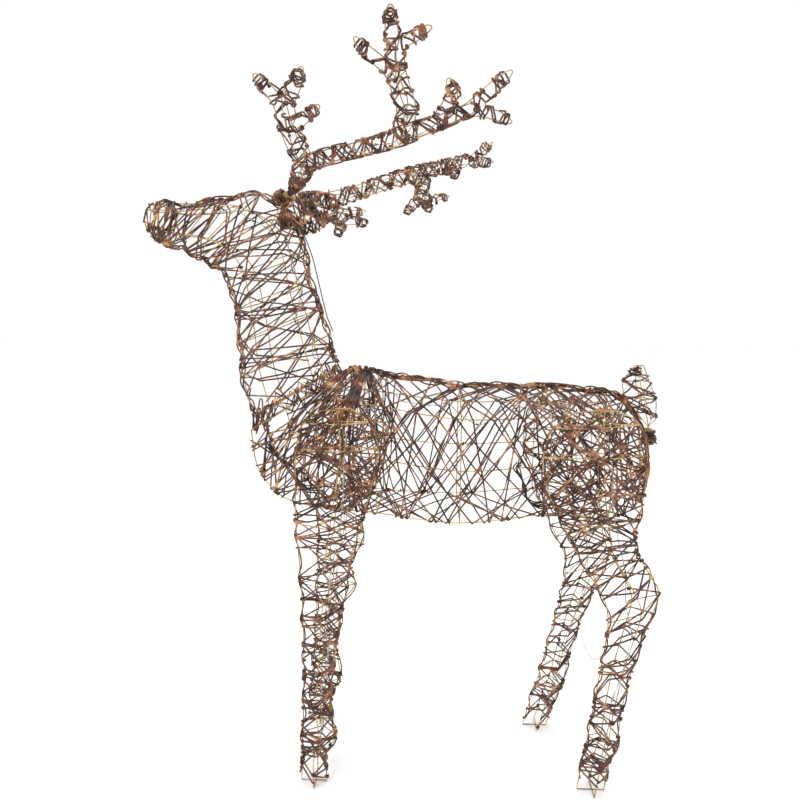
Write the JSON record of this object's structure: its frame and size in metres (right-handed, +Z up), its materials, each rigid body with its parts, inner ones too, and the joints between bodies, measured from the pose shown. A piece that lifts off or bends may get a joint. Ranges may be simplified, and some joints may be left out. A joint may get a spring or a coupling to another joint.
{
  "type": "light up yard reindeer",
  "caption": "Standing wire-frame reindeer yard decoration of steel rod cages wound with coated wire, with plug-in antlers and strings of small lamps inside.",
  "frame": {"origin": "on the ground, in the middle of the whole object's box seen from above", "axes": "+Z up, the head looks towards -X, the deer's left side is towards -Y"},
  "size_m": [0.9612, 0.7388, 1.2879],
  "materials": {
    "tan_steel": "satin tan-gold paint on steel rod",
    "brown_wire": "glossy dark brown coating on wound wire",
    "lamp_wire": "clear coated light-string wire with small clear lamps",
    "black_plastic": "moulded black plastic"
  },
  "bodies": {
    "deer": {"antler_lead": "black_plastic", "chest_plug": "black_plastic", "chest_socket": "black_plastic", "hip_plug": "black_plastic", "hip_socket": "black_plastic", "left_antler_socket": "tan_steel", "left_ear_frame": "tan_steel", "left_ear_wrap": "brown_wire", "left_front_leg_belly_tie": "black_plastic", "left_front_leg_frame": "tan_steel", "left_front_leg_light_string": "lamp_wire", "left_front_leg_side_tie": "black_plastic", "left_front_leg_wrap": "brown_wire", "left_neck_tie": "black_plastic", "left_rear_leg_belly_tie": "black_plastic", "left_rear_leg_frame": "tan_steel", "left_rear_leg_light_string": "lamp_wire", "left_rear_leg_side_tie": "black_plastic", "left_rear_leg_wrap": "brown_wire", "neck_head_frame": "tan_steel", "neck_head_light_string": "lamp_wire", "neck_head_wrap": "brown_wire", "rear_leg_lead": "lamp_wire", "right_antler_socket": "tan_steel", "right_ear_frame": "tan_steel", "right_ear_wrap": "brown_wire", "right_front_leg_belly_tie": "black_plastic", "right_front_leg_frame": "tan_steel", "right_front_leg_light_string": "lamp_wire", "right_front_leg_side_tie": "black_plastic", "right_front_leg_wrap": "brown_wire", "right_neck_tie": "black_plastic", "right_rear_leg_belly_tie": "black_plastic", "right_rear_leg_frame": "tan_steel", "right_rear_leg_light_string": "lamp_wire", "right_rear_leg_side_tie": "black_plastic", "right_rear_leg_wrap": "brown_wire", "tail_socket": "tan_steel", "torso_frame": "tan_steel", "torso_light_string": "lamp_wire", "torso_wrap": "brown_wire"},
    "left_sleeve": {"left_antler_sleeve": "black_plastic"},
    "left_antler": {"left_antler_beam_wrap": "brown_wire", "left_antler_brow_wrap": "brown_wire", "left_antler_crown_wrap": "brown_wire", "left_antler_frame": "tan_steel", "left_antler_light_string": "lamp_wire"},
    "right_sleeve": {"right_antler_sleeve": "black_plastic"},
    "right_antler": {"right_antler_beam_wrap": "brown_wire", "right_antler_brow_wrap": "brown_wire", "right_antler_crown_wrap": "brown_wire", "right_antler_frame": "tan_steel", "right_antler_light_string": "lamp_wire"},
    "tail": {"tail_frame": "tan_steel", "tail_wrap": "brown_wire"}
  },
  "joints": [
    {"name": "left_antler_swivel", "type": "hinge", "parent": "deer", "child": "left_sleeve", "pos_m": [-0.19718, -0.0414, 1.098], "axis": [0.8588, -0.4294, 0.2796], "range_deg": [-20, 48]},
    {"name": "left_antler_pull", "type": "slide", "parent": "left_sleeve", "child": "left_antler", "axis": [0.8588, -0.4294, 0.2796], "range_m": [0, 0.05]},
    {"name": "right_antler_swivel", "type": "hinge", "parent": "deer", "child": "right_sleeve", "pos_m": [-0.19718, 0.0186, 1.098], "axis": [0.8588, 0.4294, 0.2796], "range_deg": [-10, 68]},
    {"name": "right_antler_pull", "type": "slide", "parent": "right_sleeve", "child": "right_antler", "axis": [0.8588, 0.4294, 0.2796], "range_m": [0, 0.05]},
    {"name": "tail_pull", "type": "slide", "parent": "deer", "child": "tail", "axis": [-0.0797, 0, 0.9968], "range_m": [0, 0.04]}
  ]
}
